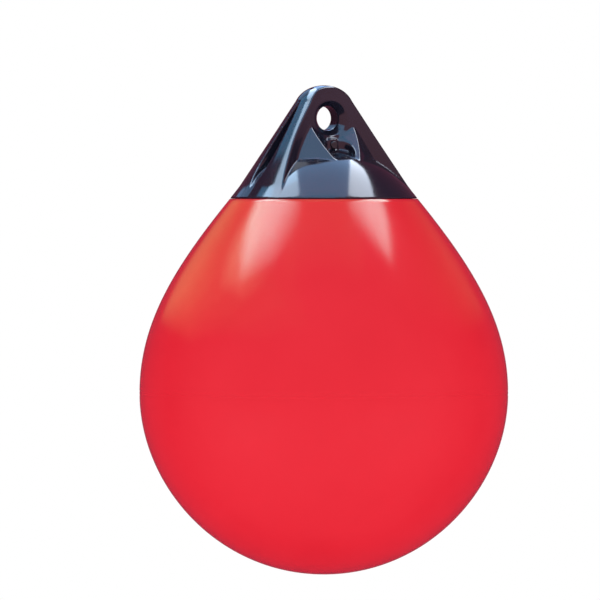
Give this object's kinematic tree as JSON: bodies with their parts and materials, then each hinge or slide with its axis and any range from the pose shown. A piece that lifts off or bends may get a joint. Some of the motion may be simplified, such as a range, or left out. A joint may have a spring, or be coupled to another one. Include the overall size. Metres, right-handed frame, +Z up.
{
  "type": "ball fender",
  "caption": "Inflatable teardrop ball fender for boats and docks, a red vinyl ball with a ribbed navy rope cap, a rope eye and a screw plug in its valve.",
  "frame": {"origin": "the middle of the rope eye, which holds the fender up", "axes": "+Z up along the fender's axis, +Y along the eye's bore, +X across the ear towards a pair of ribs"},
  "size_m": [0.43, 0.43, 0.5707],
  "materials": {
    "ball_vinyl": "glossy moulded soft vinyl, red",
    "cap_vinyl": "glossy moulded vinyl, very dark navy",
    "plug_plastic": "semi-gloss moulded plastic, near black"
  },
  "bodies": {
    "root": {"float_ball": "ball_vinyl", "rope_cap": "cap_vinyl", "valve_plug": "plug_plastic"}
  },
  "joints": []
}
